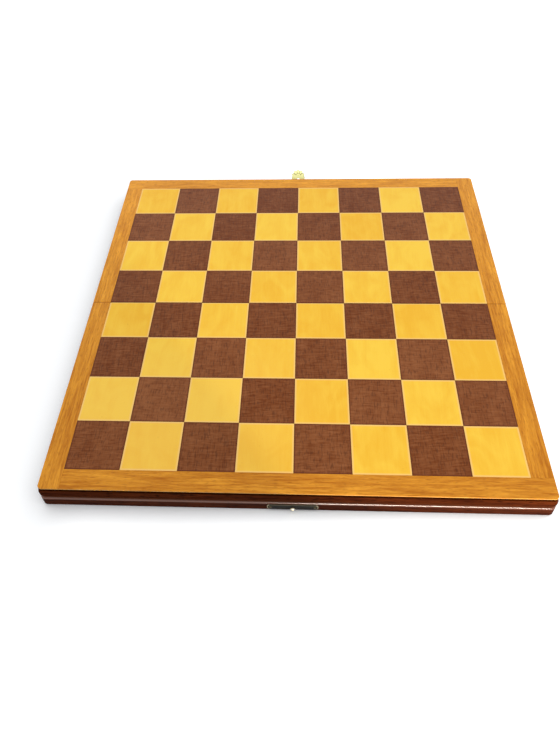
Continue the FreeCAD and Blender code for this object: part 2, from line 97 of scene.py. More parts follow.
class Wire:
    """A shader socket that takes part in Python expressions by adding the nodes that work them out."""

    def __init__(self, graph: "ShaderGraph", socket: bpy.types.NodeSocket) -> None:
        """Keeps the socket with the graph that it belongs to.

        Args:
            graph: Graph that gets the new nodes.
            socket: Output socket that this wire reads.
        """
        self.graph = graph
        self.socket = socket

    @staticmethod
    def _is_vector(operand: Operand) -> bool:
        """Tells vectors and colours from numbers.

        Args:
            operand: Wire, number or vector.

        Returns:
            True for a colour or a vector, linked or written.
        """
        if isinstance(operand, Wire):
            return operand.socket.type in {"VECTOR", "RGBA"}
        return isinstance(operand, tuple)

    def _operate(self, operation: str, *operands: Operand) -> "Wire":
        """Adds one node of arithmetic.

        Args:
            operation: Name of the operation, alike in Math and Vector Math nodes.
            operands: Wires, numbers or vectors, in the order of the node's sockets.

        Returns:
            The result.
        """
        vector = any(self._is_vector(operand) for operand in operands)
        kind = "ShaderNodeVectorMath" if vector else "ShaderNodeMath"
        return self.graph.node(kind, {"operation": operation}, dict(enumerate(operands)))

    def __add__(self, other: Operand) -> "Wire":
        """Sum."""
        return self._operate("ADD", self, other)

    __radd__ = __add__

    def __sub__(self, other: Operand) -> "Wire":
        """Difference."""
        return self._operate("SUBTRACT", self, other)

    def __rsub__(self, other: Operand) -> "Wire":
        """Difference, with this wire taken away."""
        return self._operate("SUBTRACT", other, self)

    def __mul__(self, other: Operand) -> "Wire":
        """Product."""
        return self._operate("MULTIPLY", self, other)

    __rmul__ = __mul__

    def __truediv__(self, other: Operand) -> "Wire":
        """Quotient."""
        return self._operate("DIVIDE", self, other)

    def __rtruediv__(self, other: Operand) -> "Wire":
        """Quotient, with this wire below the line."""
        return self._operate("DIVIDE", other, self)

    def __abs__(self) -> "Wire":
        """Size without sign."""
        return self._operate("ABSOLUTE", self)

    def sign(self) -> "Wire":
        """Minus one, nothing or one."""
        return self._operate("SIGN", self)

    def floor(self) -> "Wire":
        """Whole part."""
        return self._operate("FLOOR", self)

    def fraction(self) -> "Wire":
        """Parts of a vector after the point."""
        return self._operate("FRACTION", self)

    def greater(self, other: Operand) -> "Wire":
        """Larger of two values."""
        return self._operate("MAXIMUM", self, other)

    def length(self) -> "Wire":
        """Length of a vector."""
        return self.graph.node("ShaderNodeVectorMath", {"operation": "LENGTH"}, {0: self}, "Value")

    def ramp(self, start: float, end: float) -> "Wire":
        """Soft step.

        Args:
            start: Value that gives 0.
            end: Value that gives 1, on either side of start.

        Returns:
            A value from 0 to 1.
        """
        settings = {"interpolation_type": "SMOOTHSTEP"}
        return self.graph.node("ShaderNodeMapRange", settings,
                               {"Value": self, "From Min": start, "From Max": end})

    def mix(self, low: Operand, high: Operand) -> "Wire":
        """Mixes two colours by this value.

        Args:
            low: Colour at 0.
            high: Colour at 1.

        Returns:
            The mixed colour.
        """
        settings = {"data_type": "RGBA", "clamp_factor": True}
        return self.graph.node("ShaderNodeMix", settings, {0: self, 6: low, 7: high}, 2)

    def parts(self) -> tuple["Wire", "Wire", "Wire"]:
        """The three parts of a vector."""
        split = self.graph.node("ShaderNodeSeparateXYZ", {}, {"Vector": self}).socket.node
        return tuple(Wire(self.graph, socket) for socket in split.outputs)


@dataclass(frozen=True)
class Pattern:
    """A soft irregular pattern, and how much it adds to a finish.

    Attributes:
        spacing: Size of one spot of the pattern along each axis, in millimetres.
        detail: How many finer layers are added.
        wander: How far the pattern strays from straight lines.
        tone: What it adds to the tone, from deep to bright.
        relief: What it adds to the relief.
        rough: What it adds to the roughness.
    """

    spacing: Triple
    detail: float = 2.0
    wander: float = 0.0
    tone: float = 0.0
    relief: float = 0.0
    rough: float = 0.0


class ShaderGraph:
    """Nodes of one material, or of the world."""

    edge_step: Step = (0.05, 0.5)

    def __init__(self, owner: bpy.types.Material | bpy.types.World) -> None:
        """Empties the owner's node tree.

        Args:
            owner: Material or world that the nodes belong to.
        """
        owner.use_nodes = True
        self.tree = owner.node_tree
        self.tree.nodes.clear()

    def node(self, kind: str, settings: dict | None = None, inputs: dict | None = None,
             output: int | str = 0) -> Wire | None:
        """Adds one node.

        Args:
            kind: Node type.
            settings: The node's own properties, set before its sockets.
            inputs: Wires or plain values by the name or number of the socket.
            output: Name or number of the output to read.

        Returns:
            The chosen output, or nothing for a node that ends the graph.
        """
        made = self.tree.nodes.new(kind)
        for name, value in (settings or {}).items():
            setattr(made, name, value)
        for key, value in (inputs or {}).items():
            self.feed(made.inputs[key], value)
        return Wire(self, made.outputs[output]) if made.outputs else None

    def feed(self, socket: bpy.types.NodeSocket, value: Operand) -> None:
        """Links a wire to a socket, or sets the socket to a plain value.

        Args:
            socket: Input socket.
            value: Wire, number, vector or colour; one number fills a whole vector.
        """
        if isinstance(value, Wire):
            self.tree.links.new(value.socket, socket)
        elif socket.type == "RGBA":
            socket.default_value = (*value, 1.0)
        elif socket.type == "VECTOR" and not isinstance(value, tuple):
            socket.default_value = (value, value, value)
        else:
            socket.default_value = value

    def place(self) -> Wire:
        """Place on the object, in millimetres of the shared frame."""
        spot = self.node("ShaderNodeTexCoord", {}, {}, "Object")
        return self.node("ShaderNodeMapping", {}, {"Vector": spot, "Scale": 1 / MILLIMETRE})

    def turned(self, spot: Wire, angle: Operand) -> Wire:
        """Turns a place about the upright axis.

        Args:
            spot: Place to turn.
            angle: Radians.

        Returns:
            The turned place.
        """
        return self.node("ShaderNodeVectorRotate", {"rotation_type": "Z_AXIS"},
                         {"Vector": spot, "Angle": angle})

    def noise(self, spot: Wire, pattern: Pattern) -> Wire:
        """Lays a pattern out.

        Args:
            spot: Place, in millimetres.
            pattern: What the pattern is like.

        Returns:
            A value from 0 to 1.
        """
        rate = tuple(1.0 / length for length in pattern.spacing)
        return self.node("ShaderNodeTexNoise", {}, {
            "Vector": spot * rate, "Scale": 1.0, "Detail": pattern.detail, "Distortion": pattern.wander})

    def scatter(self, cell: Wire) -> tuple[Wire, Wire]:
        """Random number and random vector of a cell."""
        made = self.node("ShaderNodeTexWhiteNoise", {"noise_dimensions": "3D"}, {"Vector": cell}, "Value")
        return made, Wire(self, made.socket.node.outputs["Color"])

    def bump(self, height: Wire, depth: float) -> Wire:
        """Surface relief.

        Args:
            height: Relief from 0 to 1.
            depth: Depth of the relief, in millimetres.

        Returns:
            The bent normal.
        """
        return self.node("ShaderNodeBump", {}, {
            "Strength": 1.0, "Distance": depth * MILLIMETRE, "Height": height})

    def edges(self, width: float) -> Wire:
        """Nearness to a sharp edge of the shape.

        Args:
            width: How far from the edge it reaches, in millimetres.

        Returns:
            A value that is 1 at the edge and 0 on flat faces.
        """
        rounded = self.node("ShaderNodeBevel", {}, {"Radius": width * MILLIMETRE}, "Normal")
        flat = self.node("ShaderNodeNewGeometry", {}, {}, "Normal")
        return (rounded - flat).length().ramp(*self.edge_step)

    def seen_directly(self) -> Wire:
        """Tells the rays that see a surface from those that only light others.

        Returns:
            A value that is 1 for camera, glossy and transmitted rays and 0 for the rest.
        """
        path = self.node("ShaderNodeLightPath").socket.node
        names = ("Is Camera Ray", "Is Glossy Ray", "Is Transmission Ray")
        camera, glossy, clear = (Wire(self, path.outputs[name]) for name in names)
        return camera.greater(glossy).greater(clear)

    def surface(self, **sockets: Operand) -> None:
        """Ends the graph with a Principled shader.

        Args:
            sockets: Values of its sockets, with underscores for the spaces in their names.
        """
        inputs = {name.replace("_", " "): value for name, value in sockets.items()}
        self.show(self.node("ShaderNodeBsdfPrincipled", {}, inputs))

    def show(self, shader: Wire, kind: str = "ShaderNodeOutputMaterial") -> None:
        """Links a shader to the output node."""
        self.node(kind, {}, {"Surface": shader})


@dataclass(frozen=True)
class Finish:
    """A named finish whose material is made once."""

    name: str

    def material(self) -> bpy.types.Material:
        """Makes the finish's material when it is first asked for.

        Returns:
            The material.
        """
        found = bpy.data.materials.get(self.name)
        if found is None:
            found = bpy.data.materials.new(self.name)
            self.paint(ShaderGraph(found))
        return found

    def paint(self, graph: ShaderGraph) -> None:
        """Fills the material's graph; each finish has its own way."""
        raise NotImplementedError

    def dress(self, piece: bpy.types.Object) -> None:
        """Puts the finish on every slot of a piece.

        Args:
            piece: Frame node or new piece.
        """
        if not piece.material_slots:
            piece.data.materials.append(self.material())
        for slot in piece.material_slots:
            slot.material = self.material()
        LOG.info("%s wears %s", piece.name, self.name)


@dataclass(frozen=True)
class SquareVeneer(Finish):
    """Veneer cut into squares, each from another spot of the leaf."""

    deep: Rgb = (0.0, 0.0, 0.0)
    bright: Rgb = (1.0, 1.0, 1.0)
    edge: Rgb = (0.5, 0.5, 0.5)
    edge_share: float = 0.75
    edge_width: float = 1.15
    edge_core: float = 0.4
    square: float = 34.5
    sheet_offset: Triple = (0.4, 0.0, 0.0)
    fold_trim: Triple = (0.0, 1.0, 0.0)
    field_reach: Triple = (136.8, 136.5, 1000.0)
    lean: float = 0.12
    leaf_spread: float = 700.0
    coat_roughness: float = 0.18
    coat_ior: float = 1.34

    def cut(self, graph: ShaderGraph) -> tuple[Wire, Wire, Wire]:
        """Lays the squares out.

        Args:
            graph: Graph of the material.

        Returns:
            Place on the veneer leaf, random number of the square, nearness to the square's edge.
        """
        spot = graph.place()
        cell = (spot - self.sheet_offset + spot.sign() * self.fold_trim) / self.square
        chance, shift = graph.scatter(cell.floor())
        leaf = graph.turned(spot, (chance - 0.5) * self.lean) + shift * self.leaf_spread
        inside = (abs(cell.fraction() - 0.5) - 0.5) * self.square
        across, along, _ = inside.greater(abs(spot) - self.field_reach).parts()
        fold = 0.0 - abs(spot).parts()[1]
        rim = across.greater(along).greater(fold).ramp(-self.edge_width, -self.edge_core)
        return leaf, chance, rim

    def finish(self, graph: ShaderGraph, colour: Wire, rim: Wire, roughness: Wire, normal: Wire) -> None:
        """Blends the squares' edges in and lacquers the veneer.

        Args:
            graph: Graph of the material.
            colour: Colour of the wood.
            rim: Nearness to the square's edge.
            roughness: Roughness of the wood under the lacquer.
            normal: Relief of the grain.
        """
        graph.surface(Base_Color=(rim * self.edge_share).mix(colour, self.edge), Roughness=roughness,
                      Normal=normal, Specular_IOR_Level=0.0, Coat_Weight=1.0,
                      Coat_Roughness=self.coat_roughness, Coat_IOR=self.coat_ior)


@dataclass(frozen=True)
class LightVeneer(SquareVeneer):
    """Golden veneer with faint streaks and a few specks, paler towards the near left corner by painted
    shade.
    """

    speck: Rgb = (0.55, 0.26, 0.03)
    speck_share: float = 0.35
    speck_step: Step = (0.77, 0.82)
    # Paler, bluer colour of the painted shade on the near left of the board.
    painted_shade_colour: Rgb = (1.0, 0.60, 0.105)
    painted_shade_share: float = 0.4
    painted_shade_across: Step = (50.0, -60.0)
    painted_shade_along: Step = (0.0, -90.0)
    cloud: Pattern = Pattern((16.0, 30.0, 30.0), 3.0, 1.4, tone=1.7)
    streak: Pattern = Pattern((3.4, 70.0, 20.0), 2.0, 0.6, tone=0.6, relief=0.4)
    fibre: Pattern = Pattern((0.8, 9.0, 6.0), tone=0.5, relief=0.6, rough=0.12)
    specks: Pattern = Pattern((1.1, 1.9, 2.0), 1.0)
    chance_tone: float = 0.8
    tone_start: float = 1.3
    roughness: float = 0.42
    depth: float = 0.03

    def paint(self, graph: ShaderGraph) -> None:
        """Streaks along the grain over a slow cloud, with fibres and specks.

        Args:
            graph: Graph of the material.
        """
        leaf, chance, rim = self.cut(graph)
        across, along, _ = graph.place().parts()
        # Painted shade: the squares turn paler and bluer towards the near left corner.
        painted_shade_mask = across.ramp(*self.painted_shade_across) * along.ramp(*self.painted_shade_along)
        cloud = graph.noise(leaf, self.cloud)
        streak = graph.noise(leaf, self.streak)
        fibre = graph.noise(leaf, self.fibre)
        speck = graph.noise(leaf, self.specks).ramp(*self.speck_step)
        tone = cloud * self.cloud.tone + streak * self.streak.tone + fibre * self.fibre.tone
        tone = tone + chance * self.chance_tone - self.tone_start
        wood = (painted_shade_mask * self.painted_shade_share).mix(tone.mix(self.deep, self.bright), self.painted_shade_colour)
        colour = (speck * self.speck_share).mix(wood, self.speck)
        normal = graph.bump(fibre * self.fibre.relief + streak * self.streak.relief, self.depth)
        self.finish(graph, colour, rim, self.roughness + fibre * self.fibre.rough, normal)


@dataclass(frozen=True)
class DarkVeneer(SquareVeneer):
    """Red-brown veneer with open pores along the grain and a cross ripple."""

    pore: Rgb = (0.06, 0.014, 0.004)
    pore_share: float = 0.42
    pore_step: Step = (0.52, 0.70)
    cloud: Pattern = Pattern((12.0, 24.0, 20.0), 2.0, 0.8, tone=0.7)
    ripple: Pattern = Pattern((7.0, 0.95, 3.0), 2.0, 0.6, tone=1.6, relief=0.3, rough=-0.1)
    streak: Pattern = Pattern((1.15, 20.0, 6.0), 2.0, 0.3, tone=0.7)
    pores: Pattern = Pattern((0.75, 4.4, 2.0), 1.0, relief=-0.7)
    chance_tone: float = 0.4
    # Painted shade: how much darker the squares get per millimetre towards the far side.
    painted_light_gradient: float = 0.0009
    tone_start: float = 1.2
    roughness: float = 0.46
    depth: float = 0.06

    def paint(self, graph: ShaderGraph) -> None:
        """Pores and ripple over a slow cloud.

        Args:
            graph: Graph of the material.
        """
        leaf, chance, rim = self.cut(graph)
        along = graph.place().parts()[1]
        cloud = graph.noise(leaf, self.cloud)
        ripple = graph.noise(leaf, self.ripple)
        streak = graph.noise(leaf, self.streak)
        pit = graph.noise(leaf, self.pores).ramp(*self.pore_step)
        tone = cloud * self.cloud.tone + ripple * self.ripple.tone + streak * self.streak.tone
        # Painted shade darkens the squares towards the far side.
        tone = tone + chance * self.chance_tone - along * self.painted_light_gradient - self.tone_start
        colour = (pit * self.pore_share).mix(tone.mix(self.deep, self.bright), self.pore)
        normal = graph.bump(ripple * self.ripple.relief + pit * self.pores.relief, self.depth)
        self.finish(graph, colour, rim, self.roughness + ripple * self.ripple.rough, normal)


@dataclass(frozen=True)
class StripVeneer(Finish):
    """Border veneer with wavy streaks along the strip."""

    grain: Grain = Grain.ALONG_Y
    deep: Rgb = (0.50, 0.155, 0.004)
    bright: Rgb = (0.98, 0.43, 0.034)
    pore: Rgb = (0.36, 0.105, 0.004)
    pore_share: float = 0.45
    pore_step: Step = (0.55, 0.72)
    cloud: Pattern = Pattern((8.0, 60.0, 20.0), 2.0, 0.5, tone=0.7)
    streak: Pattern = Pattern((1.3, 22.0, 8.0), 3.0, 0.5, tone=1.3, relief=0.5)
    fibre: Pattern = Pattern((0.7, 7.0, 4.0), 2.0, 0.3, tone=0.8, relief=0.5, rough=0.1)
    pores: Pattern = Pattern((0.6, 4.0, 2.0), 1.0)
    # Painted light: how much brighter the strips get per millimetre towards the far side.
    painted_light_gradient: float = 0.0008
    tone_start: float = 0.94
    # Lighter colour of the upper edge: partly worn veneer, partly a painted highlight.
    rubbed_highlight: Rgb = (0.92, 0.50, 0.12)
    rubbed_highlight_heights: Step = (17.98, 17.7)
    roughness: float = 0.44
    depth: float = 0.04
    coat_roughness: float = 0.18
    coat_ior: float = 1.34

    def paint(self, graph: ShaderGraph) -> None:
        """Streaks, pores and a lighter upper edge, partly worn and partly a painted highlight.

        Args:
            graph: Graph of the material.
        """
        spot = graph.place()
        leaf = graph.turned(spot, self.grain.value)
        cloud = graph.noise(leaf, self.cloud)
        streak = graph.noise(leaf, self.streak)
        fibre = graph.noise(leaf, self.fibre)
        pit = graph.noise(leaf, self.pores).ramp(*self.pore_step)
        _, along, height = spot.parts()
        tone = cloud * self.cloud.tone + streak * self.streak.tone + fibre * self.fibre.tone
        # Painted light brightens the strips towards the far side.
        tone = tone + along * self.painted_light_gradient - self.tone_start
        wood = (pit * self.pore_share).mix(tone.mix(self.deep, self.bright), self.pore)
        # Painted highlight, partly also worn veneer, lightens the upper edge along the streaks.
        worn = height.ramp(*self.rubbed_highlight_heights) * streak
        relief = streak * self.streak.relief + fibre * self.fibre.relief
        graph.surface(Base_Color=worn.mix(wood, self.rubbed_highlight),
                      Roughness=self.roughness + fibre * self.fibre.rough,
                      Normal=graph.bump(relief, self.depth), Specular_IOR_Level=0.0,
                      Coat_Weight=1.0, Coat_Roughness=self.coat_roughness, Coat_IOR=self.coat_ior)


@dataclass(frozen=True)
class RailLacquer(Finish):
    """Dark stained wood under a lacquer, glossy on the moulding's lip, which is lighter from handling and
    a painted highlight.
    """

    grain: Grain = Grain.ALONG_X
    deep: Rgb = (0.024, 0.0036, 0.0014)
    bright: Rgb = (0.128, 0.026, 0.0055)
    pore: Rgb = (0.008, 0.0016, 0.0005)
    pore_share: float = 0.7
    pore_step: Step = (0.54, 0.72)
    cloud: Pattern = Pattern((14.0, 60.0, 9.0), 2.0, 0.6, tone=0.7)
    streak: Pattern = Pattern((1.6, 22.0, 1.6), 3.0, 0.6, tone=1.4, relief=0.4, rough=-0.1)
    pores: Pattern = Pattern((0.8, 5.0, 0.8), 1.0, relief=-0.6)
    tone_start: float = 0.6
    lip_low: float = 6.9
    lip_high: float = 8.3
    lip_blend: float = 0.3
    # Lighter colour of the lip: partly worn lacquer, partly a painted highlight.
    worn: Rgb = (0.20, 0.058, 0.020)
    wear_and_highlight: float = 0.75
    polish: float = 0.55
    satin: float = 0.012
    foot_gloss: float = 0.035
    roughness: float = 0.5
    depth: float = 0.04
    coat_roughness: float = 0.16
    coat_ior: float = 1.9

    def paint(self, graph: ShaderGraph) -> None:
        """Stain that gathers in the grain, with the lip of the moulding polished and lighter, partly a
        painted highlight.

        Args:
            graph: Graph of the material.
        """
        spot = graph.place()
        leaf = graph.turned(spot, self.grain.value)
        cloud = graph.noise(leaf, self.cloud)
        streak = graph.noise(leaf, self.streak)
        pit = graph.noise(leaf, self.pores).ramp(*self.pore_step)
        tone = cloud * self.cloud.tone + streak * self.streak.tone - self.tone_start
        wood = (pit * self.pore_share).mix(tone.mix(self.deep, self.bright), self.pore)
        height = spot.parts()[2]
        rise = height.ramp(self.lip_low - self.lip_blend, self.lip_low)
        lip = rise * height.ramp(self.lip_high + self.lip_blend, self.lip_high)
        foot = height.ramp(self.lip_low, self.lip_low - self.lip_blend)
        gloss = lip * (self.polish - self.satin) + foot * self.foot_gloss + self.satin
        relief = streak * self.streak.relief + pit * self.pores.relief
        # The lip's lighter colour is partly worn lacquer and partly a painted highlight.
        graph.surface(Base_Color=(lip * self.wear_and_highlight).mix(wood, self.worn),
                      Roughness=self.roughness + streak * self.streak.rough,
                      Normal=graph.bump(relief, self.depth), Specular_IOR_Level=0.0,
                      Coat_Weight=gloss, Coat_Roughness=self.coat_roughness, Coat_IOR=self.coat_ior)


@dataclass(frozen=True)
class Brass(Finish):
    """Sheet brass with a brushed polish, darker where it has tarnished, and along its edges by painted
    shade.
    """

    clean: Rgb = (0.90, 0.66, 0.22)
    tarnish: Rgb = (0.30, 0.19, 0.07)
    age: float = 0.3
    dull_step: Step = (0.72, 0.86)
    blotch: Pattern = Pattern((1.4, 1.4, 1.4), 3.0, 0.7, relief=-0.4, rough=0.22)
    scratch: Pattern = Pattern((4.0, 0.14, 0.14), relief=0.6, rough=0.12)
    shine: float = 0.24
    # Share of painted shade that darkens the sharp edges.
    edge: float = 0.0
    edge_width: float = 0.5
    metal: float = 1.0
    depth: float = 0.02

    def paint(self, graph: ShaderGraph) -> None:
        """Blotches of tarnish over fine scratches, with painted shade along sharp edges.

        Args:
            graph: Graph of the material.
        """
        spot = graph.place()
        scratch = graph.noise(spot, self.scratch)
        dull_start, dull_end = (limit - self.age / 2 for limit in self.dull_step)
        dull = graph.noise(spot, self.blotch).ramp(dull_start, dull_end)
        # Tarnish blotches, joined by painted shade along the sharp edges.
        tarnish_and_edge_shade = dull.greater(graph.edges(self.edge_width) * self.edge)
        relief = scratch * self.scratch.relief + dull * self.blotch.relief
        graph.surface(Base_Color=tarnish_and_edge_shade.mix(self.clean, self.tarnish), Metallic=self.metal,
                      Roughness=self.shine + dull * self.blotch.rough + scratch * self.scratch.rough,
                      Normal=graph.bump(relief, self.depth))


@dataclass(frozen=True)
class PlateBrass(Finish):
    """Darkened brass of a latch plate, lighter along its edges, partly worn and partly a painted
    highlight.
    """

    # Lighter colour of the edges: partly worn brass, partly a painted highlight.
    rubbed_highlight: Rgb = (0.56, 0.48, 0.30)
    dark: Rgb = (0.004, 0.0025, 0.0006)
    bright: Rgb = (0.014, 0.009, 0.0025)
    patina: Pattern = Pattern((1.6, 1.6, 0.8), 3.0, 0.6, tone=0.6, relief=0.5)
    patina_step: Step = (0.3, 0.7)
    scratch: Pattern = Pattern((3.0, 0.2, 0.2), relief=0.5, rough=0.1)
    middle: Triple = (0.0, 0.0, 4.3)
    core: Triple = (13.2, 1000.0, 0.7)
    edge_step: Step = (1.2, 1.62)
    tip_step: Step = (13.2, 14.0)
    upper_step: Step = (5.3, 6.3)
    upper_share: float = 0.3
    rubbed_highlight_start: float = 0.55
    rub_polish: float = 0.16
    roughness: float = 0.42
    depth: float = 0.03

    def paint(self, graph: ShaderGraph) -> None:
        """Patina with a bright line along the edges, ends and top, partly worn and partly a painted
        highlight.

        Args:
            graph: Graph of the material.
        """
        spot = graph.place()
        patina = graph.noise(spot, self.patina)
        scratch = graph.noise(spot, self.scratch)
        beyond = (abs(spot - self.middle) - self.core).greater((0.0, 0.0, 0.0))
        across, _, height = spot.parts()
        # Painted highlight, partly also worn brass: the ends, an upper band and the edges turn lighter.
        tip = abs(across).ramp(*self.tip_step)
        upper = height.ramp(*self.upper_step) * self.upper_share
        rubbed_highlight_mask = beyond.length().ramp(*self.edge_step) * tip.greater(upper)
        rubbed_highlight_mask = rubbed_highlight_mask * (self.rubbed_highlight_start + patina * self.patina.tone)
        worn = patina.ramp(*self.patina_step).mix(self.dark, self.bright)
        relief = patina * self.patina.relief + scratch * self.scratch.relief
        graph.surface(Base_Color=rubbed_highlight_mask.mix(worn, self.rubbed_highlight), Metallic=1.0,
                      Roughness=self.roughness - rubbed_highlight_mask * self.rub_polish + scratch * self.scratch.rough,
                      Normal=graph.bump(relief, self.depth))


@dataclass(frozen=True)
class Felt(Finish):
    """Pressed wool with a short nap."""

    deep: Rgb = (0.006, 0.045, 0.018)
    bright: Rgb = (0.022, 0.125, 0.052)
    mottle: Pattern = Pattern((6.0, 6.0, 6.0), 3.0, 1.2, tone=0.5)
    fibre: Pattern = Pattern((0.35, 0.9, 0.5), 3.0, 2.5, tone=0.9, rough=0.06)
    tone_start: float = 0.2
    roughness: float = 0.92
    depth: float = 0.18
    shine: float = 0.2
    nap: float = 0.35
    nap_roughness: float = 0.5
    nap_tint: Rgb = (0.55, 0.8, 0.6)

    def paint(self, graph: ShaderGraph) -> None:
        """Tangled fibres over a mottled dye.

        Args:
            graph: Graph of the material.
        """
        spot = graph.place()
        mottle = graph.noise(spot, self.mottle)
        fibre = graph.noise(spot, self.fibre)
        tone = mottle * self.mottle.tone + fibre * self.fibre.tone - self.tone_start
        graph.surface(Base_Color=tone.mix(self.deep, self.bright),
                      Roughness=self.roughness + fibre * self.fibre.rough,
                      Normal=graph.bump(fibre, self.depth), Specular_IOR_Level=self.shine,
                      Sheen_Weight=self.nap, Sheen_Roughness=self.nap_roughness, Sheen_Tint=self.nap_tint)


@dataclass(frozen=True)
class StudioFloor(Finish):
    """White floor that keeps the board's shadow and is plain white a little way off.

    It clears over whatever swings below it, from underneath, and under the open board,
    so that the closed box and the lining can be looked at too.
    """

    albedo: Rgb = (0.90, 0.91, 0.92)
    under: tuple[float, float] = (148.5, 148.0)
    under_blend: float = 1.0
    shade_reach: float = 20.0
    looks_up: int = 6
    near_step: Step = (0.42, 0.66)
    far_step: Step = (0.5, 1.0)
    glow: float = 0.15
    side_glow: float = 0.30
    side_blend: float = 90.0
    far_glow: float = 0.36
    left_shade: float = 0.45
    left_step: Step = (-120.0, -155.0)
    look_down: float = 200.0
    looks_down: int = 48
    below_step: Step = (0.999, 0.98)

    def paint(self, graph: ShaderGraph) -> None:
        """Diffuse white with a glow that only straight, glossy and clear rays see.

        Args:
            graph: Graph of the material.
        """
        across, along, _ = graph.place().parts()
        white = graph.node("ShaderNodeBsdfDiffuse", {}, {"Color": self.albedo})
        glow = self.brightness(graph, across).mix((0.0, 0.0, 0.0), (1.0, 1.0, 1.0))
        lamp = graph.node("ShaderNodeEmission", {}, {"Color": glow})
        lit = graph.node("ShaderNodeAddShader", {}, {0: white, 1: lamp})
        clear = graph.node("ShaderNodeBsdfTransparent")
        behind = graph.node("ShaderNodeNewGeometry", {}, {}, "Backfacing")
        inside_x, inside_y = (abs(spot).ramp(reach, reach - self.under_blend)
                              for spot, reach in zip((across, along), self.under))
        hidden = graph.node("ShaderNodeMixShader", {}, {
            0: behind.greater(inside_x * inside_y), 1: lit, 2: clear})
        below = self.openness(graph, self.look_down, self.looks_down, inside=True).ramp(*self.below_step)
        seen = graph.node("ShaderNodeMixShader", {}, {0: below, 1: hidden, 2: clear})
        camera = graph.node("ShaderNodeLightPath", {}, {}, "Is Camera Ray")
        graph.show(graph.node("ShaderNodeMixShader", {}, {0: camera, 1: hidden, 2: seen}))

    def brightness(self, graph: ShaderGraph, across: Wire) -> Wire:
        """Works out the glow, which is weaker beside the board and on its left.

        Args:
            graph: Graph of the material.
            across: Place from left to right.

        Returns:
            Strength of the glow.
        """
        free = self.openness(graph, self.shade_reach, self.looks_up)
        right = across.ramp(-self.side_blend, self.side_blend)
        left = across.ramp(*self.left_step)
        glow = free.ramp(*self.near_step) * (self.glow + right * self.side_glow)
        glow = glow + free.ramp(*self.far_step) * self.far_glow
        return glow * (1.0 - left * self.left_shade) * graph.seen_directly()

    def openness(self, graph: ShaderGraph, reach: float, looks: int, inside: bool = False) -> Wire:
        """Share of the directions on one side of the floor that are free of pieces.

        Args:
            graph: Graph of the material.
            reach: How far pieces count, in millimetres.
            looks: How many directions are tried.
            inside: Looks below the floor instead of above it.

        Returns:
            A value from 0 to 1.
        """
        return graph.node("ShaderNodeAmbientOcclusion", {"inside": inside, "samples": looks},
                          {"Distance": reach * MILLIMETRE}, "AO")


LIGHT_VENEER = LightVeneer("veneer_light", deep=(0.93, 0.50, 0.028), bright=(1.0, 0.64, 0.060),
                           edge=(1.0, 0.62, 0.21), edge_width=1.45, edge_core=0.55)
DARK_VENEER = DarkVeneer("veneer_dark", deep=(0.150, 0.030, 0.0005), bright=(0.300, 0.100, 0.030),
                         edge=(0.130, 0.027, 0.008))
BORDER = {grain: StripVeneer("veneer_border_" + grain.name.lower(), grain) for grain in Grain}
RAIL = {grain: RailLacquer("rail_lacquer_" + grain.name.lower(), grain) for grain in Grain}
PLAIN_RAIL = RailLacquer("rail_plain", Grain.ALONG_X, wear_and_highlight=0.0, polish=0.012)
PANEL_EDGE = RailLacquer("panel_stain", Grain.ALONG_X, deep=(0.012, 0.002, 0.0004),
                         bright=(0.050, 0.010, 0.0012), wear_and_highlight=0.0, polish=0.0, satin=0.0)
HINGE_BRASS = Brass("brass_hinge", age=0.35)
# The flap's pale clean colour is brass paled by a painted highlight; its edges get painted shade.
FLAP_BRASS = Brass("brass_flap", clean=(1.0, 0.97, 0.42), tarnish=(0.17, 0.15, 0.06), age=0.14, shine=0.32,
                   edge=0.9, edge_width=0.8, metal=0.4)
KNOB_BRASS = Brass("brass_knob", clean=(0.66, 0.60, 0.42), tarnish=(0.18, 0.15, 0.08), shine=0.14)
NAIL_BRASS = Brass("brass_nail", clean=(0.10, 0.08, 0.04), tarnish=(0.03, 0.022, 0.010))
LATCH_PLATE = PlateBrass("brass_plate")
FELT = Felt("felt_green")
FLOOR = StudioFloor("floor_white")


def put_in_scene(shape: bmesh.types.BMesh, name: str) -> bpy.types.Object:
    """Makes an object of a finished shape.

    Args:
        shape: Shape, which is freed.
        name: Name of the object and its mesh.

    Returns:
        The object, at the origin.
    """
    mesh = bpy.data.meshes.new(name)
    shape.to_mesh(mesh)
    shape.free()
    piece = bpy.data.objects.new(name, mesh)
    bpy.context.scene.collection.objects.link(piece)
    return piece


@dataclass
class PlayingField:
    """Veneered face of one half: the squares and the border strips round them."""

    half: Half

    def dress(self, nodes: dict[str, bpy.types.Object]) -> None:
        """Gives the squares and strips their veneers.

        Args:
            nodes: Frame nodes by name.
        """
        name = self.half.value
        DARK_VENEER.dress(nodes[name + "_dark_squares"])
        LIGHT_VENEER.dress(nodes[name + "_light_squares"])
        for side, grain in self.half.sides.items():
            BORDER[grain].dress(nodes[f"{name}_border_{side}"])


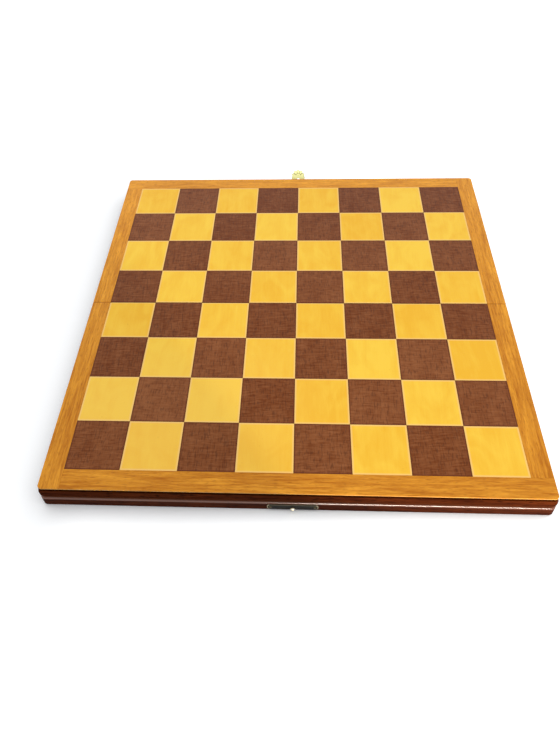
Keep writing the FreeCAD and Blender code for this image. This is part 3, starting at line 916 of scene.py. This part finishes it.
@dataclass
class Tray:
    """Wooden frame of one half with its panel and felt lining."""

    half: Half
    felt_cells: int = 90
    felt_wave: float = 0.00012
    felt_wave_length: float = 0.023
    felt_bend: float = 2.0
    felt_bend_rate: float = 0.37
    felt_cross_rate: float = 0.81

    def dress(self, nodes: dict[str, bpy.types.Object]) -> None:
        """Gives the rails and the panel their stain and lacquer.

        Args:
            nodes: Frame nodes by name.
        """
        name = self.half.value
        PANEL_EDGE.dress(nodes[name + "_panel"])
        PLAIN_RAIL.dress(nodes[name + "_fold_rail"])
        for side, grain in self.half.sides.items():
            RAIL[grain].dress(nodes[f"{name}_{side}_rail"])

    def line(self) -> bpy.types.Object:
        """Lays the felt against the underside of the panel.

        Returns:
            The felt piece.
        """
        node = self.half.value + "_felt_lining"
        low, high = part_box(node)
        width, length, thickness = high - low
        middle = (low + high) / 2
        shape = bmesh.new()
        bmesh.ops.create_grid(shape, x_segments=self.felt_cells, y_segments=self.felt_cells // 2, size=0.5)
        bmesh.ops.scale(shape, verts=shape.verts, vec=(width, length, 1.0))
        bmesh.ops.translate(shape, verts=shape.verts, vec=(middle.x, middle.y, low.z))
        for corner in shape.verts:
            corner.co.z += self.felt_wave * self.swell(corner.co)
        bmesh.ops.solidify(shape, geom=shape.faces[:], thickness=thickness)
        piece = put_in_scene(shape, self.half.value + "_felt_sheet")
        FELT.dress(piece)
        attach(piece, self.half.body)
        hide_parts(node)
        return piece

    def swell(self, spot: Vector) -> float:
        """Works out the slow unevenness of the felt.

        Args:
            spot: Place on the felt.

        Returns:
            A value from -1 to 1.
        """
        turn = 2 * math.pi / self.felt_wave_length
        bend = self.felt_bend * math.sin(turn * self.felt_bend_rate * spot.y)
        return math.sin(turn * spot.x + bend) * math.cos(turn * self.felt_cross_rate * spot.y)


@dataclass
class FoldHinges:
    """The two butt hinges at the fold."""

    names: tuple[str, ...] = ("left", "right")

    def dress(self, nodes: dict[str, bpy.types.Object]) -> None:
        """Gives leaves, pins and screws their brass.

        Args:
            nodes: Frame nodes by name.
        """
        for name in self.names:
            HINGE_BRASS.dress(nodes[f"{name}_hinge_pin"])
            for half in Half:
                HINGE_BRASS.dress(nodes[f"{name}_hinge_{half.value}_leaf"])
        for half in Half:
            HINGE_BRASS.dress(nodes[half.value + "_hinge_screws"])


@dataclass
class Latch:
    """Catch on the front rail and hasp on the back rail."""

    finishes: dict[str, Finish] = field(default_factory=lambda: {
        "catch_plate": LATCH_PLATE, "catch_nails": NAIL_BRASS, "catch_knob": KNOB_BRASS,
        "hasp_plate": LATCH_PLATE, "hasp_nails": NAIL_BRASS, "hasp_pin": NAIL_BRASS,
        "hasp_flap": FLAP_BRASS})

    def dress(self, nodes: dict[str, bpy.types.Object]) -> None:
        """Gives the plates their dark brass and the knob and flap their bright brass, the flap's paleness
        partly a painted highlight.

        Args:
            nodes: Frame nodes by name.
        """
        for name, finish in self.finishes.items():
            finish.dress(nodes[name])


@dataclass(frozen=True)
class SoftBox:
    """A rectangular lamp that faces the board."""

    name: str
    place: Triple
    aim: Triple
    width: float
    height: float
    power: float
    tint: Rgb = (1.0, 1.0, 1.0)

    def hang(self, pieces: list[bpy.types.Object] | None = None,
             mirrored: bool = False) -> bpy.types.Object:
        """Puts the lamp in the scene.

        Args:
            pieces: Pieces that the lamp falls on, where it isn't all of them.
            mirrored: Shows only the lamp's mirror image, which nothing but these pieces hides,
                instead of its soft light.

        Returns:
            The lamp.
        """
        light = bpy.data.lights.new(self.name, "AREA")
        light.shape = "RECTANGLE"
        light.size = self.width
        light.size_y = self.height
        light.energy = self.power
        light.color = self.tint
        lamp = bpy.data.objects.new(self.name, light)
        lamp.location = self.place
        lamp.rotation_euler = (Vector(self.aim) - Vector(self.place)).to_track_quat("-Z", "Y").to_euler()
        lamp.visible_camera = False
        lamp.visible_glossy = mirrored
        lamp.visible_diffuse = not mirrored
        bpy.context.scene.collection.objects.link(lamp)
        if pieces is not None:
            group = bpy.data.collections.new(self.name + "_pieces")
            for piece in pieces:
                group.objects.link(piece)
            lamp.light_linking.receiver_collection = group
            if mirrored:
                lamp.light_linking.blocker_collection = group
        return lamp


@dataclass
class Studio:
    """Floor, room light, lamps and camera."""

    floor_reach: float = 30.0
    floor_height: float = -0.0001
    room_light: float = 1.10
    room_tint: Rgb = (0.98, 0.99, 1.0)
    front_shade: float = 0.40
    front_way: Triple = (-0.35, -0.93, -0.1)
    front_step: Step = (-0.2, 0.8)
    ceiling: float = 0.40
    ceiling_step: Step = (0.45, 0.95)
    camera_place: Triple = (0.008113, -0.335497, 0.377825)
    camera_turn: Triple = (44.5456, 2.3282, 2.4862)
    camera_lens: float = 32.2086
    camera_sensor: float = 36.0
    camera_shift: tuple[float, float] = (0.0174, -0.12225)
    camera_clip: tuple[float, float] = (0.01, 120.0)
    key: SoftBox = SoftBox("key_lamp", (0.26, -1.25, 0.135), (0.03, -0.15, 0.01), 0.52, 0.18, 20.0,
                           (1.0, 0.90, 0.78))
    mirror_power: float = 26.0
    back: SoftBox = SoftBox("back_lamp", (0.05, -0.45, 0.55), (0.0, 0.16, 0.01), 0.3, 0.3, 3.5)
    shade_near: Triple = (0.010, -0.151, 0.018)
    shade_far: Triple = (-0.14, 0.06, 0.018)
    flag_share: float = 0.05
    flag_length: float = 1.2
    flag_width: float = 0.5

    def lay_floor(self) -> bpy.types.Object:
        """Lays the floor under the rims.

        Returns:
            The floor.
        """
        shape = bmesh.new()
        bmesh.ops.create_grid(shape, x_segments=1, y_segments=1, size=self.floor_reach,
                              matrix=Matrix.Translation((0.0, 0.0, self.floor_height)))
        floor = put_in_scene(shape, "studio_floor")
        FLOOR.dress(floor)
        return floor

    def light_room(self, polished: list[bpy.types.Object], handled: list[bpy.types.Object]) -> None:
        """Lights the scene from all round and hangs the lamps, with a flag that shades the near left.

        Args:
            polished: Pieces that mirror the key lamp.
            handled: Pieces at the back that get a lamp of their own.
        """
        world = bpy.data.worlds.new("room")
        world.cycles.sampling_method = "NONE"
        bpy.context.scene.world = world
        graph = ShaderGraph(world)
        way = graph.node("ShaderNodeTexCoord", {}, {}, "Generated")
        front = graph.node("ShaderNodeVectorMath", {"operation": "DOT_PRODUCT"},
                           {0: way, 1: tuple(Vector(self.front_way).normalized())}, "Value")
        room = self.room_light - front.ramp(*self.front_step) * (self.room_light - self.front_shade)
        mirrored = 1.0 - way.parts()[2].ramp(*self.ceiling_step) * (1.0 - self.ceiling)
        glossy = graph.node("ShaderNodeLightPath", {}, {}, "Is Glossy Ray")
        seen = glossy * mirrored + (1.0 - glossy)
        direct = graph.seen_directly()
        strength = direct * seen + (1.0 - direct) * room
        sky = graph.node("ShaderNodeBackground", {}, {"Color": self.room_tint, "Strength": strength})
        graph.show(sky, "ShaderNodeOutputWorld")
        self.key.hang()
        replace(self.key, name="mirrored_key", power=self.mirror_power).hang(polished, mirrored=True)
        self.back.hang(handled)
        self.hang_flag()

    def hang_flag(self) -> bpy.types.Object:
        """Hangs a card between the key lamp and the board, whose edge casts the shade's edge.

        Returns:
            The card, which only shadows show.
        """
        lamp = Vector(self.key.place)
        near, far = (Vector(end).lerp(lamp, self.flag_share) for end in (self.shade_near, self.shade_far))
        along = (far - near).normalized()
        away = Vector((-along.y, along.x, 0.0))
        middle = (near + far) / 2 + away * self.flag_width / 2
        turn = Matrix((along, away, Vector((0.0, 0.0, 1.0)))).transposed().to_4x4()
        shape = bmesh.new()
        bmesh.ops.create_grid(shape, x_segments=1, y_segments=1, size=0.5)
        bmesh.ops.scale(shape, verts=shape.verts, vec=(self.flag_length, self.flag_width, 1.0))
        bmesh.ops.transform(shape, verts=shape.verts, matrix=Matrix.Translation(middle) @ turn)
        flag = put_in_scene(shape, "flag")
        flag.visible_camera = False
        flag.visible_diffuse = False
        flag.visible_glossy = False
        flag.visible_transmission = False
        return flag

    def stand_camera(self) -> None:
        """Stands the camera where the photograph was taken."""
        lens = bpy.data.cameras.new("camera")
        lens.sensor_width = self.camera_sensor
        lens.lens = self.camera_lens
        lens.shift_x, lens.shift_y = self.camera_shift
        lens.clip_start, lens.clip_end = self.camera_clip
        camera = bpy.data.objects.new("camera", lens)
        camera.location = self.camera_place
        camera.rotation_euler = Euler([math.radians(turn) for turn in self.camera_turn])
        bpy.context.scene.collection.objects.link(camera)
        bpy.context.scene.camera = camera
        bpy.context.scene.view_settings.view_transform = "Standard"


def main() -> None:
    """Builds and dresses the board in order."""
    logging.basicConfig(level=logging.INFO, format="%(message)s")
    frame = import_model()
    nodes = frame["nodes"]
    for half in Half:
        PlayingField(half).dress(nodes)
        tray = Tray(half)
        tray.dress(nodes)
        LOG.info("made %s", tray.line().name)
    FoldHinges().dress(nodes)
    Latch().dress(nodes)
    studio = Studio()
    LOG.info("laid %s", studio.lay_floor().name)
    polished = [node for name, node in nodes.items() if name.endswith(("_rail", "_knob"))]
    studio.light_room(polished, [nodes["hasp_flap"]])
    studio.stand_camera()


if __name__ == "__main__":
    main()
